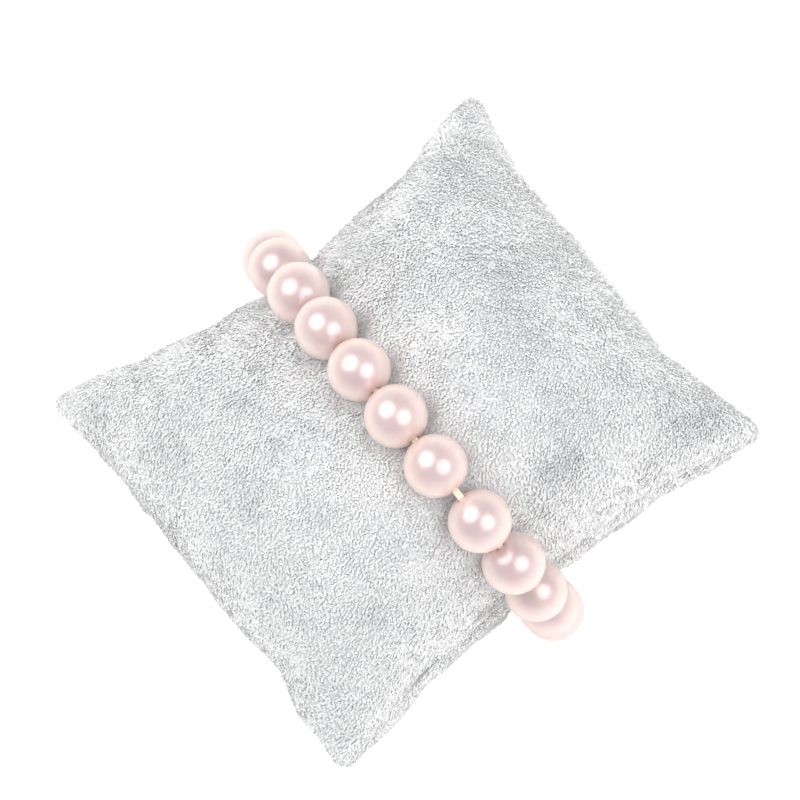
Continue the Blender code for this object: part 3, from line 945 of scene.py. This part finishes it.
def pearl_material():
    """Nacre: dusty pink in the middle, and a paler peach painted where it turns away, a painted
    reflection of the white surroundings, under a clear coat.
    """
    m = Nodes("pearl_nacre")
    coords = m.add("ShaderNodeTexCoord")
    cloud = m.add("ShaderNodeTexNoise", Scale=260.0, Detail=3.0)
    m.link(coords.outputs["Object"], cloud.inputs["Vector"])
    body = m.ramp(cloud.outputs["Fac"], [(0.3, (0.76, 0.58, 0.585)), (0.7, (0.83, 0.67, 0.65))])
    # Painted reflection: towards the rim the colour turns paler peach, as if mirroring the white
    # surroundings.
    rim_reflection = m.ramp(cloud.outputs["Fac"], [(0.3, (0.91, 0.735, 0.69)), (0.7, (0.94, 0.78, 0.73))])
    facing = m.add("ShaderNodeLayerWeight", Blend=0.5)
    rim_reflection_share = m.ramp(facing.outputs["Facing"], [(0.12, (0.0, 0.0, 0.0)), (0.5, (1.0, 1.0, 1.0))])
    colour = m.mix(body.outputs["Color"], rim_reflection.outputs["Color"], rim_reflection_share.outputs["Color"])
    m.link(colour, m.shader.inputs["Base Color"])
    m.shader.inputs["Metallic"].default_value = 0.35
    m.shader.inputs["Roughness"].default_value = 0.3
    m.shader.inputs["Specular IOR Level"].default_value = 0.6
    m.shader.inputs["Specular Tint"].default_value = (1.0, 0.93, 0.92, 1.0)
    m.shader.inputs["Coat Weight"].default_value = 0.42
    m.shader.inputs["Coat Roughness"].default_value = 0.18
    m.shader.inputs["Coat IOR"].default_value = 1.5
    m.shader.inputs["Subsurface Weight"].default_value = 0.1
    m.shader.inputs["Subsurface Radius"].default_value = (0.002, 0.0012, 0.001)
    m.shader.inputs["Subsurface Scale"].default_value = 1.0
    ripple = m.add("ShaderNodeTexNoise", Scale=900.0, Detail=2.0)
    m.link(coords.outputs["Object"], ripple.inputs["Vector"])
    bump = m.add("ShaderNodeBump", Strength=0.05, Distance=0.0001)
    m.link(ripple.outputs["Fac"], bump.inputs["Height"])
    m.link(bump.outputs["Normal"], m.shader.inputs["Normal"])
    return m.material


def elastic_material():
    """Cream elastic, with a painted glow (emission) that lifts the shade on it where it runs between
    the beads.
    """
    m = Nodes("cream_elastic")
    coords = m.add("ShaderNodeTexCoord")
    fibre = m.add("ShaderNodeTexNoise", Scale=2600.0, Detail=2.0)
    m.link(coords.outputs["Object"], fibre.inputs["Vector"])
    colour = m.ramp(fibre.outputs["Fac"], [(0.3, (0.90, 0.83, 0.68)), (0.7, (0.96, 0.91, 0.79))])
    m.link(colour.outputs["Color"], m.shader.inputs["Base Color"])
    m.shader.inputs["Roughness"].default_value = 0.42
    # Painted glow: emission that lifts the shade on the cord between touching beads.
    m.shader.inputs["Emission Color"].default_value = (1.0, 0.9, 0.76, 1.0)
    m.shader.inputs["Emission Strength"].default_value = 0.15
    bump = m.add("ShaderNodeBump", Strength=0.3, Distance=0.0001)
    m.link(fibre.outputs["Fac"], bump.inputs["Height"])
    m.link(bump.outputs["Normal"], m.shader.inputs["Normal"])
    return m.material


def thread_material(name, dark, light):
    """Twisted sewing thread."""
    m = Nodes(name)
    coords = m.add("ShaderNodeTexCoord")
    twist = m.add("ShaderNodeTexWave", Scale=900.0, Distortion=1.5)
    m.link(coords.outputs["Object"], twist.inputs["Vector"])
    colour = m.ramp(twist.outputs["Fac"], [(0.2, dark), (0.8, light)])
    m.link(colour.outputs["Color"], m.shader.inputs["Base Color"])
    m.shader.inputs["Roughness"].default_value = 0.7
    bump = m.add("ShaderNodeBump", Strength=0.5, Distance=0.0001)
    m.link(twist.outputs["Fac"], bump.inputs["Height"])
    m.link(bump.outputs["Normal"], m.shader.inputs["Normal"])
    return m.material


def fibre_material():
    """Loose white stuffing fibre."""
    m = Nodes("polyester_fibre")
    coords = m.add("ShaderNodeTexCoord")
    wad = m.add("ShaderNodeTexNoise", Scale=500.0, Detail=5.0, Distortion=1.2)
    m.link(coords.outputs["Object"], wad.inputs["Vector"])
    colour = m.ramp(wad.outputs["Fac"], [(0.3, (0.70, 0.70, 0.68)), (0.7, (0.92, 0.92, 0.90))])
    m.link(colour.outputs["Color"], m.shader.inputs["Base Color"])
    m.shader.inputs["Roughness"].default_value = 1.0
    bump = m.add("ShaderNodeBump", Strength=0.8, Distance=0.0004)
    m.link(wad.outputs["Fac"], bump.inputs["Height"])
    m.link(bump.outputs["Normal"], m.shader.inputs["Normal"])
    return m.material


# ---------------------------------------------------------------- stage


def build_camera():
    """The camera at the photograph's angle. Returns its right, up and back directions."""
    elevation = math.radians(90 - math.hypot(CAMERA_TILT, CAMERA_TURN))
    azimuth = -math.atan2(CAMERA_TURN, CAMERA_TILT)
    back = Vector((
        math.sin(azimuth) * math.cos(elevation),
        -math.cos(azimuth) * math.cos(elevation),
        math.sin(elevation),
    ))
    position = CAMERA_TARGET + back * CAMERA_DISTANCE
    right = (-back).cross(Vector((0, 0, 1))).normalized()
    up = right.cross(-back).normalized()
    roll = math.radians(CAMERA_ROLL)
    rolled_right = right * math.cos(roll) + up * math.sin(roll)
    rolled_up = -right * math.sin(roll) + up * math.cos(roll)
    data = bpy.data.cameras.new("camera")
    data.lens = CAMERA_LENS
    data.sensor_width = CAMERA_SENSOR
    data.shift_x, data.shift_y = CAMERA_SHIFT
    data.clip_start = 0.01
    camera = bpy.data.objects.new("camera", data)
    bpy.context.scene.collection.objects.link(camera)
    axes = Matrix((rolled_right, rolled_up, back)).transposed().to_4x4()
    camera.matrix_world = Matrix.Translation(position) @ axes
    bpy.context.scene.camera = camera
    return rolled_right, rolled_up, back


def build_light(name, direction, diameter, power):
    """A round softbox that faces the object."""
    data = bpy.data.lights.new(name, "AREA")
    data.shape = "DISK"
    data.size = diameter
    data.energy = power
    light = bpy.data.objects.new(name, data)
    bpy.context.scene.collection.objects.link(light)
    direction = direction.normalized()
    light.location = CAMERA_TARGET + direction * LIGHT_DISTANCE
    light.rotation_mode = "QUATERNION"
    light.rotation_quaternion = direction.to_track_quat("Z", "Y")


def dim_reflection(tree, socket, plain, reflected):
    """Drives a strength socket: plain to the eye, weaker where a glossy surface mirrors it."""
    path = tree.nodes.new("ShaderNodeLightPath")
    choice = tree.nodes.new("ShaderNodeMix")
    choice.inputs[2].default_value = plain
    choice.inputs[3].default_value = reflected
    tree.links.new(path.outputs["Is Glossy Ray"], choice.inputs[0])
    tree.links.new(choice.outputs[0], socket)


def build_world():
    """White all round the horizon and below, greyer overhead where the camera stands."""
    world = bpy.data.worlds.new("studio")
    bpy.context.scene.world = world
    world.use_nodes = True
    tree = world.node_tree
    background = tree.nodes["Background"]
    coords = tree.nodes.new("ShaderNodeTexCoord")
    split = tree.nodes.new("ShaderNodeSeparateXYZ")
    tree.links.new(coords.outputs["Generated"], split.inputs[0])
    ramp = tree.nodes.new("ShaderNodeValToRGB")
    elements = ramp.color_ramp.elements
    while len(elements) < len(SKY_STOPS):
        elements.new(0.5)
    for element, (position, grey) in zip(elements, SKY_STOPS):
        element.position = position
        element.color = (grey, grey, grey, 1.0)
    tree.links.new(split.outputs["Z"], ramp.inputs["Fac"])
    tree.links.new(ramp.outputs["Color"], background.inputs["Color"])
    dim_reflection(tree, background.inputs["Strength"], 1.0, SKY_REFLECTED)


def build_floor():
    """A plain pale floor, just under the object."""
    material = bpy.data.materials.new("pale_floor")
    material.use_nodes = True
    shader = material.node_tree.nodes["Principled BSDF"]
    shader.inputs["Base Color"].default_value = (0.96, 0.96, 0.96, 1.0)
    shader.inputs["Roughness"].default_value = 0.8
    shader.inputs["Emission Color"].default_value = (1.0, 1.0, 1.0, 1.0)
    dim_reflection(material.node_tree, shader.inputs["Emission Strength"], FLOOR_GLOW, 0.0)
    size = FLOOR_HALF_SIZE
    verts = [(-size, -size, 0), (size, -size, 0), (size, size, 0), (-size, size, 0)]
    floor = new_object("floor", mesh_from("floor", verts, [(0, 1, 2, 3)]), material)
    floor.location.z = -FLOOR_DROP


def wear(node, material):
    """Gives a CAD node that stays in view its finished material."""
    data = frame["nodes"][node].data
    data.materials.clear()
    data.materials.append(material)


def main():
    pile = pile_material()
    cover, seam = build_cover(ground_material())
    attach(cover, "pillow")
    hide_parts("cover_top_panel", "cover_bottom_panel")
    for piece in build_pile(cover, seam, pile):
        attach(piece, "pillow")
    build_beads(pearl_material())
    build_cord(elastic_material())
    thread = thread_material("seam_thread", (0.34, 0.35, 0.36), (0.50, 0.51, 0.52))
    wear("main_seam_thread", thread)
    wear("closing_seam_thread", thread)
    wear("fibre_filling", fibre_material())
    axes = build_camera()
    key = sum((axis * share for axis, share in zip(axes, KEY_DIRECTION)), Vector())
    fill = sum((axis * share for axis, share in zip(axes, FILL_DIRECTION)), Vector())
    build_light("softbox_left", key, KEY_SIZE, KEY_POWER)
    build_light("softbox_right", fill, FILL_SIZE, FILL_POWER)
    build_world()
    build_floor()
    bpy.context.scene.view_settings.view_transform = "Standard"


main()
